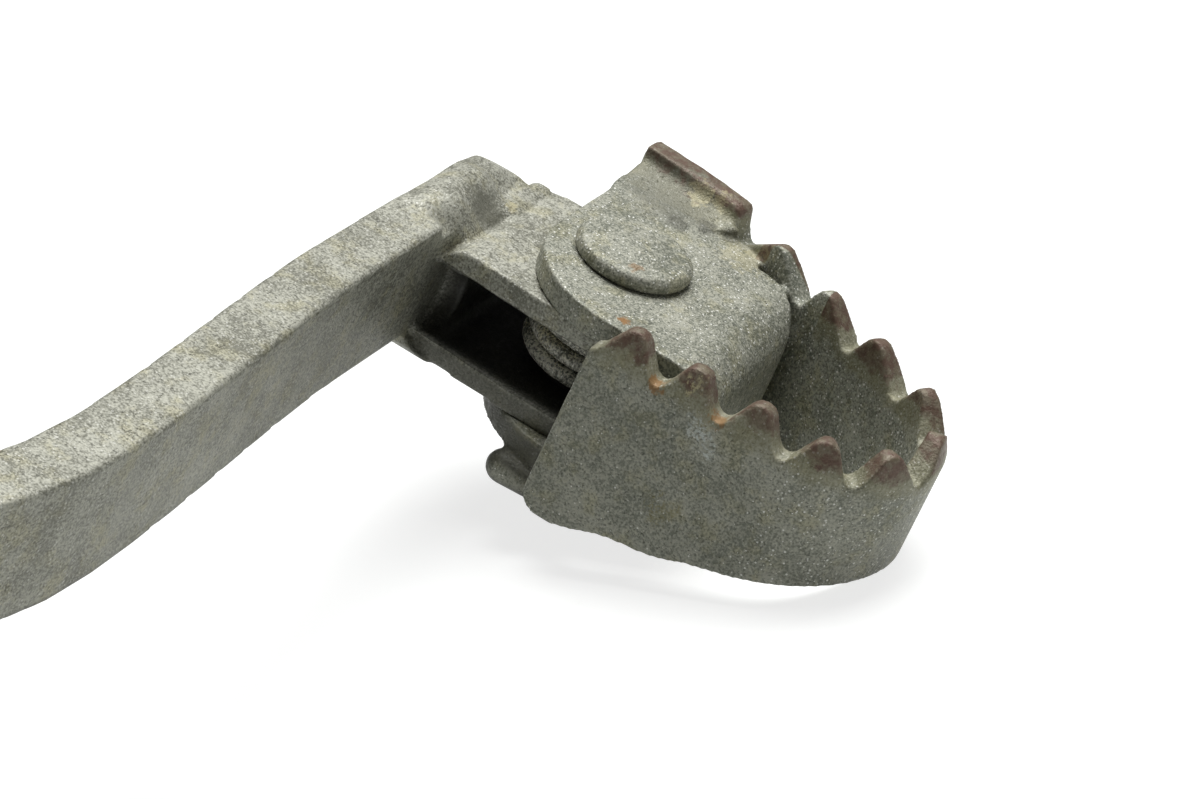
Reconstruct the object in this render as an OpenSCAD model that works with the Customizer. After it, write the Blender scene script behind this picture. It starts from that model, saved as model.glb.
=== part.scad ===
// Rear brake pedal of a trail bike, with a sprung folding toothed tip.
// Millimetres. The origin is the centre of the pivot bore. X runs forward along the arm,
// Y is the pivot axis (towards the bike), Z is up and parallel to the tip rivet.
// Pieces of the tip are drawn in the tip's own frame: origin on the rivet, halfway between
// the clevis plates, x outward along the tip and y forward along the arm.

/* [Arm] */
// distance from the pivot to the tip rivet along the arm
rivet_ahead = 205; // [190:1:230]
// height of the clevis middle above the pivot
rivet_up = 22; // [10:1:30]
// how far the tip rivet stands outboard of the pivot
rivet_out = 50; // [46:1:60]
// thickness of the flat arm
arm_t = 7.8; // [6:0.2:10]
// height of the arm at the front
arm_h = 17.3; // [15:0.1:18]
// extra height of the arm beside the pivot
arm_h_more = 9; // [0:1:12]
// how far the arm stands outboard of its front end where it starts to bend in
arm_sway = 3.1; // [0:0.1:6]
// radius of the corners at the front end of the arm, seen from above
arm_end_r = 3; // [1:0.5:3.5]

/* [Pivot] */
// radius of the bore in the bushes
pivot_bore_r = 8.5; // [6:0.5:9]
// wall of each bush
bush_wall = 1.5; // [1:0.5:2.5]
// length of each bush
bush_len = 12; // [8:1:14]
// wall of the pivot tube
tube_wall = 4.5; // [3:0.5:6]
// length of the pivot tube
tube_len = 34; // [30:1:40]

/* [Clevis] */
// thickness of the clevis plates
clevis_t = 3.2; // [2.5:0.1:4]
// gap between the clevis plates
clevis_gap = 10.6; // [8:0.2:14]
// half width of the clevis along the arm
clevis_half_w = 14.6; // [12:0.2:15]
// distance from the rivet to the face of the arm
clevis_seat = 20.2; // [18:0.2:24]

/* [Tip bracket] */
// thickness of the bracket sheet
bracket_t = 3.5; // [2.5:0.1:4]
// distance from the rivet to the outer face of the bracket
bracket_reach = 21.7; // [20:0.1:24]
// distance from the rivet to the near edge of the ears
ear_near = 17; // [16:0.2:17.4]
// distance from the rivet to the inner edge of the ears
ear_in = 11; // [10:0.2:12]
// radius of the round corner of the ears
ear_corner_r = 16; // [10:0.5:16]

/* [Toothed band] */
// thickness of the band
band_t = 3.6; // [3:0.1:4.2]
// height of the tips of the straight side above the clevis middle
tooth_top = 15.2; // [14:0.1:17]
// how much higher the tips of the slanted side stand
far_rise = 0.5; // [0:0.1:1]
// depth of the gaps between the teeth
tooth_depth = 4.5; // [3.5:0.1:5]
// spacing of the four teeth of the straight side
near_pitch = 9; // [8.5:0.1:10]
// spacing of the six teeth round the end and along the slanted side
far_pitch = 10.6; // [9.8:0.1:11]
// radius of the middle line round the outer end
end_r = 14.25; // [12:0.25:15]

/* [Rivet and spring] */
// radius of the rivet shank
rivet_r = 5; // [4:0.5:6]
// radius of the formed rivet head
head_r = 8.05; // [7:0.05:9]
// radius of the spring wire
wire_r = 1.2; // [0.8:0.1:1.25]
// number of full turns of the spring
spring_turns = 3; // [2:1:3]

/* [Hidden] */
$fn = 48;
steel_colour = [0.44, 0.43, 0.40];
weld_colour = [0.38, 0.38, 0.35];
wire_colour = [0.33, 0.32, 0.30];
bronze_colour = [0.62, 0.48, 0.28];
rubber_colour = [0.08, 0.08, 0.08];

// heights in the tip frame
clevis_top = clevis_gap / 2 + clevis_t;
ear_play = 0.1;
ear_under = clevis_top + ear_play;
ear_top = ear_under + bracket_t;
arm_mid_z = 2.25;
arm_top = arm_mid_z + arm_h / 2;
arm_under = arm_mid_z - arm_h / 2;

// the arm in the row frame
arm_front_y = -rivet_out + clevis_seat + arm_t / 2;
arm_bend_back = 92;
arm_straight_back = 30;
arm_level_back = 112;
arm_end_ahead = 11.5;
arm_bend_x = rivet_ahead - arm_bend_back;
arm_straight_x = rivet_ahead - arm_straight_back;
arm_level_x = rivet_ahead - arm_level_back;
arm_end_x = rivet_ahead + arm_end_ahead;
arm_rear_x = 16;
// slopes that lead from the arm's top down to the clevis plate: run and drop of the slope at
// the front end, and of the one along the edge, which starts beside the clevis
slope_drop = arm_top - clevis_top;
end_slope = [5.3, slope_drop];
edge_slope = [3.8, slope_drop];
edge_slope_back = 14.7;
arm_front_z = rivet_up + arm_mid_z;
arm_steps = 24;

tube_r_in = pivot_bore_r + bush_wall;
tube_r = tube_r_in + tube_wall;
eye_wall = 5;
eye_t = 10;
eye_leg = 3.5;
lever_t = 5;
lever_inset = 7.5;
lever_y = tube_len / 2 - lever_inset;
rod_hole = [-16, -40];
rod_hole_r = 4.1;
spring_hole = [-27, -17];
spring_hole_r = 2.5;

// spring collar and running play on the rivet
rivet_play = 0.05;
collar_r = 7.2;
coil_r = 8.9;
coil_pitch = 2 * wire_r + 0.2;

// smooth step from 0 to 1
function ease(t) = let (u = min(1, max(0, t))) u * u * (3 - 2 * u);

// points of an arc, from the start angle to the end angle
function arc(cx, cy, r, a0, a1, n) =
    [for (i = [0:n]) let (a = a0 + (a1 - a0) * i / n) [cx + r * cos(a), cy + r * sin(a)]];

// middle of the arm, sideways and upwards, at a distance x from the pivot
function arm_y(x) = x > arm_bend_x
    ? arm_front_y - arm_sway * ease((arm_straight_x - x) / (arm_straight_x - arm_bend_x))
    : (arm_front_y - arm_sway) * ease((x - arm_rear_x) / (arm_bend_x - arm_rear_x));
function arm_z(x) = arm_front_z * ease((x - arm_rear_x) / (arm_level_x - arm_rear_x));
function arm_half_h(x) = arm_h / 2 + arm_h_more / 2 * (1 - ease(x / arm_level_x));

// middle line of the toothed band: a straight side, a round end, a slanted side, a small bend
// and the flat that carries the wide tooth
band_near_y = -(ear_near + 1.7 + band_t / 2);
band_start_x = 5.6;
band_end_x = 46.9;
end_cx = band_end_x - end_r;
end_cy = band_near_y + end_r;
slant = 27;
flat_slant = 6;
bend_r = 12;
far_len = 37.6;
flat_len = 12.4;
end_turn = 180 - slant;
far_start = [end_cx + end_r * sin(slant), end_cy + end_r * cos(slant)];
far_dir = [-cos(slant), sin(slant)];
far_end = far_start + far_len * far_dir;
bend_c = far_end - bend_r * [sin(slant), cos(slant)];
flat_start = bend_c + bend_r * [sin(flat_slant), cos(flat_slant)];
flat_dir = [-cos(flat_slant), sin(flat_slant)];
s_near = end_cx - band_start_x;
s_end = s_near + end_r * end_turn * PI / 180;
s_far = s_end + far_len;
s_bend = s_far + bend_r * (slant - flat_slant) * PI / 180;
s_flat = s_bend + flat_len;

// place on the middle line at the length s, and the angle of the outward normal there
function band_angle(s) =
    s < s_near ? -90
    : s < s_end ? -90 + (s - s_near) / end_r * 180 / PI
    : s < s_far ? 90 - slant
    : s < s_bend ? 90 - slant + (s - s_far) / bend_r * 180 / PI
    : 90 - flat_slant;
function band_point(s) =
    s < s_near ? [band_start_x + s, band_near_y]
    : s < s_end ? [end_cx, end_cy] + end_r * [cos(band_angle(s)), sin(band_angle(s))]
    : s < s_far ? far_start + (s - s_end) * far_dir
    : s < s_bend ? bend_c + bend_r * [cos(band_angle(s)), sin(band_angle(s))]
    : flat_start + (s - s_bend) * flat_dir;

// one edge of the band at a distance from its middle line, over the lengths s0 to s1
function band_edge(off) = concat(
    [[band_start_x, band_near_y - off]],
    arc(end_cx, end_cy, end_r + off, -90, 90 - slant, 20),
    band_tail(off));
function band_tail(off) = concat(
    arc(bend_c[0], bend_c[1], bend_r + off, 90 - slant, 90 - flat_slant, 4),
    [flat_start + flat_len * flat_dir + off * [sin(flat_slant), cos(flat_slant)]]);

function reversed(list) = [for (i = [len(list) - 1:-1:0]) list[i]];

// tips of the teeth along the middle line
first_tip = 4.6;
last_tip = 93.3;
wide_tip = 104.2;
free_gap = 10.2;
tips = concat(
    [first_tip - free_gap],
    [for (k = [0:3]) first_tip + k * near_pitch],
    [for (k = [5:-1:0]) last_tip - k * far_pitch],
    [wide_tip]);
tip_flat = 0.5;
tip_round = 1.6;
valley_r = 1.3;
// where the floor of a gap lies, as a share of the way from its first tip to its second: the
// teeth lean more and more along the band, and the last gap is long
last_share = 0.68;
function gap_share(i) = i == len(tips) - 2 ? last_share : 0.53 - 0.14 * tips[i] / last_tip;

// the tips rise from the straight side to the slanted side
rise_from = -18;
rise_to = 8;
function top_at(y) = tooth_top + far_rise * min(1, max(0, (y - rise_from) / (rise_to - rise_from)));

// free end of the straight side and lower edge of the band, seen from the side: the edge
// rises towards the outer end, with one wave that the shears left
free_top_x = band_start_x + 0.15;
free_low_x = band_start_x - 0.95;
band_low_x = 9.5;
band_low = -14.6;
band_rise = 0.3;
band_corner_r = 3;
wave_high = 0.4;
wave_from = 12.5;
wave_len = 15;
function low_edge(x) = band_low + band_rise * max(0, x - band_low_x)
    + (x > wave_from && x < wave_from + wave_len
        ? wave_high * sin(360 * (x - wave_from) / wave_len) : 0);

module in_tip_frame() {
    translate([rivet_ahead, -rivet_out, rivet_up]) rotate([0, 0, -90]) children();
}

// flat bar from the pivot eye to the tip, bent sideways and upwards
module arm() {
    xs = [for (i = [0:arm_steps]) arm_rear_x + (arm_end_x - arm_end_r - arm_rear_x) * i / arm_steps];
    end_y = arm_y(arm_end_x);
    edge_in = [for (x = xs) [x, arm_y(x) + arm_t / 2]];
    edge_out = [for (x = xs) [x, arm_y(x) - arm_t / 2]];
    nose = concat(
        arc(arm_end_x - arm_end_r, end_y - arm_t / 2 + arm_end_r, arm_end_r, -90, 0, 5),
        arc(arm_end_x - arm_end_r, end_y + arm_t / 2 - arm_end_r, arm_end_r, 0, 90, 5));
    top = [for (x = xs) [x, arm_z(x) + arm_half_h(x)]];
    under = [for (x = xs) [x, arm_z(x) - arm_half_h(x)]];
    top_z = arm_front_z + arm_h / 2;
    front = [[arm_end_x, top_z], [arm_end_x, top_z - arm_h]];
    seat_y = -rivet_out + clevis_seat;
    tall = 200;
    color(steel_colour)
    difference() {
        union() {
            intersection() {
                translate([0, 0, -tall / 2])
                    linear_extrude(height = tall)
                        polygon(concat(edge_out, nose, reversed(edge_in)));
                translate([0, tall / 2, 0]) rotate([90, 0, 0])
                    linear_extrude(height = tall)
                        polygon(concat(top, front, reversed(under)));
            }
            rotate([90, 0, 0]) cylinder(r = tube_r + eye_wall, h = eye_t, center = true, $fn = 64);
        }
        rotate([90, 0, 0]) cylinder(r = tube_r, h = tall, center = true, $fn = 64);
        translate([0, tall / 2, 0]) rotate([90, 0, 0]) linear_extrude(height = tall)
            slope_cut([arm_end_x, top_z - end_slope[1]], end_slope);
        translate([rivet_ahead - edge_slope_back, 0, 0]) rotate([90, 0, 90])
            linear_extrude(height = tall) mirror([1, 0])
                slope_cut([-seat_y, top_z - edge_slope[1]], edge_slope);
    }
}

// wedge above a slope that ends at a point, with the slope's run and drop
module slope_cut(foot, slope) {
    polygon([
        foot + [-2 * slope[0], 2 * slope[1]], foot + [slope[0], -slope[1]],
        foot + [slope[0], 2 * slope[1]]]);
}

// a ring about the pivot axis between two distances along Y
module pivot_ring(r_out, r_in, y0, y1) {
    translate([0, y1, 0]) rotate([90, 0, 0])
        difference() {
            cylinder(r = r_out, h = y1 - y0, $fn = 64);
            translate([0, 0, -1]) cylinder(r = r_in, h = y1 - y0 + 2, $fn = 64);
        }
}

module pivot_tube() {
    color(steel_colour) pivot_ring(tube_r, tube_r_in, -tube_len / 2, tube_len / 2);
}

module bush_inner() {
    color(bronze_colour)
        pivot_ring(tube_r_in, pivot_bore_r, tube_len / 2 - bush_len, tube_len / 2);
}

module bush_outer() {
    color(bronze_colour)
        pivot_ring(tube_r_in, pivot_bore_r, -tube_len / 2, -tube_len / 2 + bush_len);
}

// dust seal: a soft ring on the end of the tube, with a lip that closes on the pivot pin
module seal(side) {
    seal_t = 2;
    lip_gap = 0.4;
    color(rubber_colour)
    rotate([-90 * side, 0, 0]) translate([0, 0, tube_len / 2])
        rotate_extrude($fn = 64) polygon([
            [pivot_bore_r + lip_gap, 0], [tube_r - 1, 0], [tube_r - 1, seal_t * 0.6],
            [tube_r - 2, seal_t], [pivot_bore_r + 1.5, seal_t], [pivot_bore_r + lip_gap, seal_t * 0.5]]);
}

module seal_inner() {
    seal(1);
}

module seal_outer() {
    seal(-1);
}

// fillet weld round the tube against a flat face: leg along the face and hollow surface
module ring_weld(leg) {
    hollow = arc(tube_r + leg, leg, leg, -90, -180, 4);
    rotate_extrude($fn = 64) polygon(concat([[tube_r, 0]], hollow));
}

module pivot_weld_inner() {
    color(weld_colour)
        translate([0, eye_t / 2, 0]) rotate([-90, 0, 0]) ring_weld(eye_leg);
}

module pivot_weld_outer() {
    color(weld_colour)
        translate([0, -eye_t / 2, 0]) rotate([90, 0, 0]) ring_weld(eye_leg);
}

// plate on the tube that pulls the brake rod, with a smaller eye for the return spring
module rod_lever() {
    color(steel_colour)
    translate([0, lever_y + lever_t, 0]) rotate([90, 0, 0])
        difference() {
            linear_extrude(height = lever_t) union() {
                hull() {
                    circle(r = tube_r + 3);
                    translate(rod_hole) circle(r = rod_hole_r + 4.4);
                }
                hull() {
                    circle(r = tube_r + 1);
                    translate(spring_hole) circle(r = spring_hole_r + 3);
                }
            }
            translate([0, 0, -1]) cylinder(r = tube_r, h = lever_t + 2, $fn = 64);
            translate([rod_hole[0], rod_hole[1], -1]) cylinder(r = rod_hole_r, h = lever_t + 2);
            translate([spring_hole[0], spring_hole[1], -1])
                cylinder(r = spring_hole_r, h = lever_t + 2, $fn = 32);
        }
}

module lever_weld() {
    lever_leg = 2;
    color(weld_colour)
        translate([0, lever_y + lever_t, 0]) rotate([-90, 0, 0]) ring_weld(lever_leg);
}

// plate under the arm that meets the frame's stop: its upper edge follows the arm's slope
stop_x = 44;
stop_len = 10;
stop_t = 5;
stop_low = -30;
stop_corner_r = 3;
stop_weld_high = 2;
stop_weld_gap = 0.25;
stop_x0 = stop_x - stop_len / 2;
stop_x1 = stop_x + stop_len / 2;
// points along the arm's underside over the tab, a distance below it
function under_arm(drop) = [for (i = [0:4]) let (x = stop_x0 + stop_len * i / 4)
    [x, arm_z(x) - arm_half_h(x) - drop]];

module stop_plate(outline) {
    translate([0, arm_y(stop_x) + stop_t / 2, 0]) rotate([90, 0, 0])
        linear_extrude(height = stop_t) polygon(outline);
}

module stop_tab() {
    r = stop_corner_r;
    color(steel_colour)
    stop_plate(concat(
        reversed(under_arm(stop_weld_high)),
        arc(stop_x0 + r, stop_low + r, r, 180, 270, 4),
        arc(stop_x1 - r, stop_low + r, r, 270, 360, 4)));
}

module stop_weld() {
    color(weld_colour)
        stop_plate(concat(under_arm(stop_weld_high - 0.02), reversed(under_arm(stop_weld_gap))));
}

// side view of a folded sheet: two plates joined by a web, open towards the start
function fold(x_open, x_web, z_out, t, r) =
    let (way = x_web > x_open ? 1 : -1)
    concat(
        [[x_open, -z_out]],
        [for (i = [0:6]) let (a = -90 + 15 * i)
            [x_web + way * (r * cos(a) - r), -z_out + r + r * sin(a)]],
        [for (i = [0:6]) let (a = 15 * i)
            [x_web + way * (r * cos(a) - r), z_out - r + r * sin(a)]],
        [[x_open, z_out], [x_open, z_out - t]],
        [for (i = [6:-1:0]) let (a = 15 * i)
            [x_web + way * ((r - t) * cos(a) - r), z_out - r + (r - t) * sin(a)]],
        [for (i = [6:-1:0]) let (a = -90 + 15 * i)
            [x_web + way * ((r - t) * cos(a) - r), -z_out + r + (r - t) * sin(a)]],
        [[x_open, -z_out + t]]);

module fold_body(x_open, x_web, z_out, t, r) {
    deep = 80;
    translate([0, deep / 2, 0]) rotate([90, 0, 0])
        linear_extrude(height = deep) polygon(fold(x_open, x_web, z_out, t, r));
}

module flat_body(outline) {
    deep = 60;
    translate([0, 0, -deep / 2]) linear_extrude(height = deep) polygon(outline);
}

// folded clevis: its plates take the rivet, and their outer ends stop the tip. Its rear edge
// runs in a little towards the arm, its front is narrower with a cut corner, and the web
// stands back from the rear edges of the plates in a round notch
stop_room = 2.5;
plate_end = bracket_reach - bracket_t - stop_room;
clevis_fold_r = 4.7;
clevis_taper = 1.2;
clevis_front_in = 1.4;
clevis_corner = [4.4, 6.2];
notch_lip = 0.3;
notch_depth = 1.8;
module clevis() {
    front_w = clevis_half_w - clevis_front_in;
    side_a = asin(min(1, clevis_half_w / plate_end));
    outline = concat(
        [[-clevis_seat, clevis_taper - clevis_half_w], [-clevis_seat / 4, -clevis_half_w]],
        arc(0, 0, plate_end, -side_a, 0, 8),
        [[plate_end, front_w - clevis_corner[1]], [plate_end - clevis_corner[0], front_w],
            [-clevis_seat, front_w]]);
    notch_r = clevis_gap / 2 - notch_lip;
    notch = concat(
        [[-2 * clevis_half_w, -notch_r]],
        arc(notch_depth - clevis_half_w, 0, notch_r, -90, 90, 10),
        [[-2 * clevis_half_w, notch_r]]);
    color(steel_colour) in_tip_frame()
    difference() {
        intersection() {
            fold_body(plate_end + 5, -clevis_seat, clevis_top, clevis_t, clevis_fold_r);
            flat_body(outline);
        }
        cylinder(r = rivet_r + rivet_play, h = 3 * clevis_top, center = true);
        translate([-clevis_seat - 1, 0, 0]) rotate([90, 0, 90])
            linear_extrude(height = 1 + clevis_fold_r + clevis_t) polygon(notch);
    }
}

// folded bracket of the tip: two ears on the rivet and a web at the outer end
bracket_fold_r = 6.5;
ear_far_r = 10;
module tip_bracket() {
    far_cx = bracket_reach - ear_far_r;
    far_cy = 6.5;
    inner = band_tail(-band_t / 2);
    outline = concat(
        arc(-ear_in + ear_corner_r, -ear_near + ear_corner_r, ear_corner_r, 180, 270, 10),
        [[bracket_reach, -ear_near]],
        arc(far_cx, far_cy, ear_far_r, 0, 90, 8),
        [[far_cx, inner[0][1] - (far_cx - inner[0][0]) * tan(slant)]],
        inner);
    color(steel_colour) in_tip_frame()
    difference() {
        intersection() {
            fold_body(-ear_in - 5, bracket_reach, ear_top, bracket_t, bracket_fold_r);
            flat_body(outline);
        }
        cylinder(r = rivet_r + rivet_play, h = 3 * ear_top, center = true);
    }
}

// angle of a tooth's side that touches the round of the tip and the round of the gap's floor
function tooth_side(run) = let (rise = tooth_depth - tip_round - valley_r)
    atan2(rise, run) + asin((tip_round + valley_r) / norm([run, rise]));

// gap between two teeth, as a solid that cuts across the band
module tooth_gap(s0, s1, share) {
    floor_s = s0 + (s1 - s0) * share;
    run_a = floor_s - s0 - tip_flat / 2;
    run_b = s1 - floor_s - tip_flat / 2;
    a = tooth_side(run_a);
    b = tooth_side(run_b);
    above = 3;
    deep = 5 * band_t;
    shape = concat(
        [[-run_a, above]],
        arc(-run_a, -tip_round, tip_round, 90, 90 - a, 4),
        arc(0, valley_r - tooth_depth, valley_r, 270 - a, 270 + b, 6),
        arc(run_b, -tip_round, tip_round, 90 + b, 90, 4),
        [[run_b, above]]);
    p = band_point(floor_s);
    translate([p[0], p[1], top_at(p[1])]) rotate([0, 0, band_angle(floor_s) + 90])
        rotate([90, 0, 0]) translate([0, 0, -deep / 2])
            linear_extrude(height = deep) polygon(shape);
}

// slanted cut that thins the tips from outside, swept round the band
thin_t = 1.3;
thin_h = 3.6;
module thinning() {
    o = band_t / 2;
    lift = 0.5;
    cut = [[o - thin_t - thin_t * lift / thin_h, lift], [o + 3, lift], [o + 3, -thin_h],
        [o, -thin_h]];
    translate([0, 0, tooth_top]) {
        translate([band_start_x - 3, band_near_y, 0]) rotate([90, 0, 90])
            linear_extrude(height = s_near + 3) polygon([for (q = cut) [-q[0], q[1]]]);
        translate([end_cx, end_cy, far_rise / 2]) rotate([0, 0, -90])
            rotate_extrude(angle = end_turn, $fn = 72)
                polygon([for (q = cut) [end_r + q[0], q[1]]]);
        translate([far_end[0], far_end[1], far_rise]) rotate([0, 0, -slant]) rotate([90, 0, 90])
            linear_extrude(height = far_len) polygon(cut);
    }
}

// toothed band: a strip bent round to a hook, toothed along its upper edge
module toothed_band() {
    o = band_t / 2;
    left = -30;
    right = 60;
    ahead = 60;
    high = tooth_top + 3;
    side = concat(
        [[left, high], [left, band_low], [band_low_x, band_low]],
        [for (x = [band_low_x + 1.5:1.5:34]) [x, low_edge(x)]],
        [[right, low_edge(right)], [right, high]]);
    top = [[-ahead, 2 * band_low], [ahead, 2 * band_low], [ahead, top_at(ahead)],
        [rise_to, top_at(rise_to)], [rise_from, top_at(rise_from)], [-ahead, top_at(-ahead)]];
    free_end = concat(
        [[-10, high], [free_top_x, high]],
        arc(free_low_x + band_corner_r, band_low + band_corner_r, band_corner_r, 180, 270, 5),
        [[-10, band_low - 1]]);
    color(steel_colour) in_tip_frame()
    difference() {
        intersection() {
            flat_body(concat(
                [[band_start_x - 3, band_near_y + o], [band_start_x - 3, band_near_y - o]],
                band_edge(o), reversed(band_edge(-o))));
            translate([0, ahead, 0]) rotate([90, 0, 0])
                linear_extrude(height = 2 * ahead) polygon(side);
            translate([left, 0, 0]) rotate([90, 0, 90])
                linear_extrude(height = right - left) polygon(top);
        }
        translate([0, -10, 0]) rotate([90, 0, 0]) linear_extrude(height = 20)
            polygon(free_end);
        for (i = [0:len(tips) - 2]) tooth_gap(tips[i], tips[i + 1], gap_share(i));
        thinning();
    }
}

// solid through a row of equal-length outlines
module loft(rows) {
    n = len(rows[0]);
    m = len(rows);
    points = [for (row = rows) for (p = row) p];
    sides = [for (j = [0:m - 2]) for (i = [0:n - 1])
        [j * n + i, j * n + (i + 1) % n, (j + 1) * n + (i + 1) % n, (j + 1) * n + i]];
    polyhedron(points = points,
        faces = concat([[for (i = [n - 1:-1:0]) i]], [[for (i = [0:n - 1]) (m - 1) * n + i]],
            [for (q = sides) [q[0], q[1], q[2]]], [for (q = sides) [q[0], q[2], q[3]]]));
}

// place a profile against the band's inner face and draw it out along the flat end
module along_flat(back, length) {
    start = flat_start - (band_t / 2) * [sin(flat_slant), cos(flat_slant)] - back * flat_dir;
    translate([start[0], start[1], 0]) rotate([90, 0, -90 - flat_slant])
        linear_extrude(height = length) children();
}

// hollow fillet between the upper ear and the band: wide at the free end of the band and
// cut away where the slanted side starts
module band_weld_top() {
    wide = 8.2;
    high = 2.7;
    lip = 0.25;
    away = 0.04;
    back = 6;
    base = ear_top + away;
    color(weld_colour) in_tip_frame()
    difference() {
        intersection() {
            along_flat(back, flat_len + back - 0.4)
                polygon(concat([[away, base], [away + wide, base]],
                    [for (a = [0:15:90])
                        [away + wide * (1 - sin(a)), base + lip + (high - lip) * (1 - cos(a))]]));
            flat_body([[-20, 5], [-1, 14.2], [6.5, 20.6], [6.5, 40], [-20, 40]]);
        }
        flat_body(concat(
            [far_start - (band_t / 2 + away) * [sin(slant), cos(slant)]],
            band_tail(-band_t / 2 - away), [[-20, 40], [60, 40]]));
    }
}

// hollow fillet under the lower ear, along the flat end of the band
module band_weld_bottom() {
    leg = 3.2;
    away = 0.04;
    base = -ear_top - away;
    color(weld_colour) in_tip_frame()
        along_flat(-0.5, flat_len - 1)
            polygon(concat([[away, base]], arc(away + leg, base - leg, leg, 90, 180, 5)));
}

// bead under the near ear, against the inner face of the straight side, with a round end
module band_weld_near() {
    bead_r = 2.4;
    thin_r = 1.8;
    x0 = -2.9;
    x1 = 9;
    steps = 5;
    nose = [for (j = [0:steps]) let (a = 8 + (90 - 8) * j / steps)
        [x0 + bead_r * (1 - cos(a)), bead_r * sin(a)]];
    tail = [for (j = [1:steps]) let (u = j / steps)
        [x0 + bead_r + (x1 - x0 - bead_r) * u, bead_r + (thin_r - bead_r) * u]];
    color(weld_colour) in_tip_frame()
    loft([for (q = concat(nose, tail))
        [for (i = [0:11]) let (a = 30 * i)
            [q[0], band_near_y + band_t / 2 + 0.05 + bead_r + q[1] * cos(a),
                -ear_top - 0.03 - bead_r + q[1] * sin(a)]]]);
}

// bead on the arm's top that runs down the slope onto the upper clevis plate: rows whose
// inner points stay, while the outer ones swell and shrink
module clevis_weld_top() {
    away = 0.05;
    foot = [-clevis_seat, clevis_top + away];
    crest = [-clevis_seat - edge_slope[0], arm_top + away];
    over_arm = 3.2;
    over_plate = 1.7;
    inner = [crest - [over_arm, 0], crest, foot + [0.08, 0], foot + [over_plate, 0]];
    outer = [foot + [0.9, 0.02], foot + [-0.4, 0.27], foot + [-2, 1.28], crest + [0.4, -0.23],
        crest + [-0.8, 0.02], crest + [-2.2, 0.02]];
    swell = [[0, 0.25], [0.1, 0.6], [0.3, 1.1], [0.2, 1.2], [0, 1.15], [0, 0.7]];
    from_y = 0.2 - edge_slope_back;
    to_y = 3;
    rows = 10;
    color(weld_colour) in_tip_frame()
    loft([for (j = [0:rows])
        let (t = j / rows, y = from_y + (to_y - from_y) * t,
            k = sqrt(max(0.04, 1 - pow(2 * t - 1, 4))))
        [for (q = concat(inner, [for (i = [0:len(outer) - 1]) outer[i] + k * swell[i]]))
            [q[0], y, q[1]]]]);
}

// bead under the arm that fills the corner between its lower edge and the clevis fold: its
// cross section, cut to rise at both ends
module clevis_weld_bottom() {
    away = 0.05;
    below_clevis = 1.05;
    x0 = -clevis_seat - away;
    z0 = arm_under - away;
    low = z0 + clevis_top + below_clevis;
    under_bar = 4.6;
    section = concat(
        [[x0 - under_bar, z0], [x0, z0]],
        arc(clevis_fold_r - clevis_seat, clevis_fold_r - clevis_top, clevis_fold_r + away,
            217, 265, 5),
        [[x0 + 4.2, z0 - 0.88 * low], [x0 + 2.8, z0 - 0.98 * low], [x0 + 0.8, z0 - low],
            [x0 - 1.2, z0 - 0.94 * low], [x0 - 3.2, z0 - 0.6 * low]]);
    from_y = -clevis_half_w - 0.4;
    to_y = 7;
    side = [[from_y, z0 + 1], [from_y, z0 - 0.35 * low], [from_y + 1.2, z0 - 0.75 * low],
        [from_y + 3.5, z0 - 0.95 * low], [from_y + 7, z0 - 1.1 * low],
        [to_y - 8, z0 - 1.1 * low], [to_y - 3.5, z0 - 0.9 * low], [to_y - 1, z0 - 0.6 * low],
        [to_y, z0 - 0.3 * low], [to_y, z0 + 1]];
    wide = 40;
    color(weld_colour) in_tip_frame()
    intersection() {
        translate([0, wide, 0]) rotate([90, 0, 0]) linear_extrude(height = 2 * wide)
            polygon(section);
        translate([-wide, 0, 0]) rotate([90, 0, 90]) linear_extrude(height = wide)
            polygon(side);
    }
}

// rivet: a formed button head on top and a peened dome below
module rivet() {
    head_h = 2.7;
    tail_r = 7.4;
    tail_h = 3.6;
    gap = 0.02;
    top = ear_top + gap;
    color(steel_colour) in_tip_frame()
        rotate_extrude($fn = 64) polygon(concat(
            [[0, -top - tail_h]],
            arc(0, -top - tail_h + 12, 12, 273, 295, 3),
            arc(tail_r - 1.6, -top - 1.6, 1.6, 300, 360, 4),
            [[tail_r, -top], [rivet_r, -top], [rivet_r, top], [head_r - 0.4, top]],
            arc(head_r - 1.3, top + head_h - 1.7, 1.3, -20, 75, 6),
            arc(0, top + head_h - 30, 30, 80, 86, 2),
            [[0, top + head_h]]));
}

// torsion spring round the collar: one leg runs to the arm, the other to the tip bracket
module torsion_spring() {
    per_turn = 24;
    sides = 8;
    turns = spring_turns;
    low = -coil_pitch * turns / 2;
    leg_in = clevis_seat - clevis_t - wire_r - 0.4;
    leg_out = bracket_reach - bracket_t - wire_r - 0.6;
    n = per_turn * turns;
    line = concat(
        [[-leg_in, coil_r, low]],
        [for (i = [0:n]) let (a = 90 - 360 * i / per_turn)
            [coil_r * cos(a), coil_r * sin(a), low + coil_pitch * i / per_turn]],
        [[leg_out, coil_r, low + coil_pitch * turns]]);
    last = len(line) - 1;
    color(wire_colour) in_tip_frame()
    loft([for (i = [0:last]) let (
        d = line[min(last, i + 1)] - line[max(0, i - 1)],
        h = norm([d[0], d[1]]),
        side = [d[1] / h, -d[0] / h, 0])
        [for (k = [0:sides - 1]) let (a = 360 * k / sides)
            line[i] + wire_r * (cos(a) * side + sin(a) * [0, 0, 1])]]);
}

// spacer tube on the rivet, between the clevis plates
module spring_collar() {
    color(steel_colour) in_tip_frame()
        difference() {
            cylinder(r = collar_r, h = clevis_gap, center = true);
            cylinder(r = rivet_r + rivet_play, h = clevis_gap + 2, center = true);
        }
}

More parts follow.
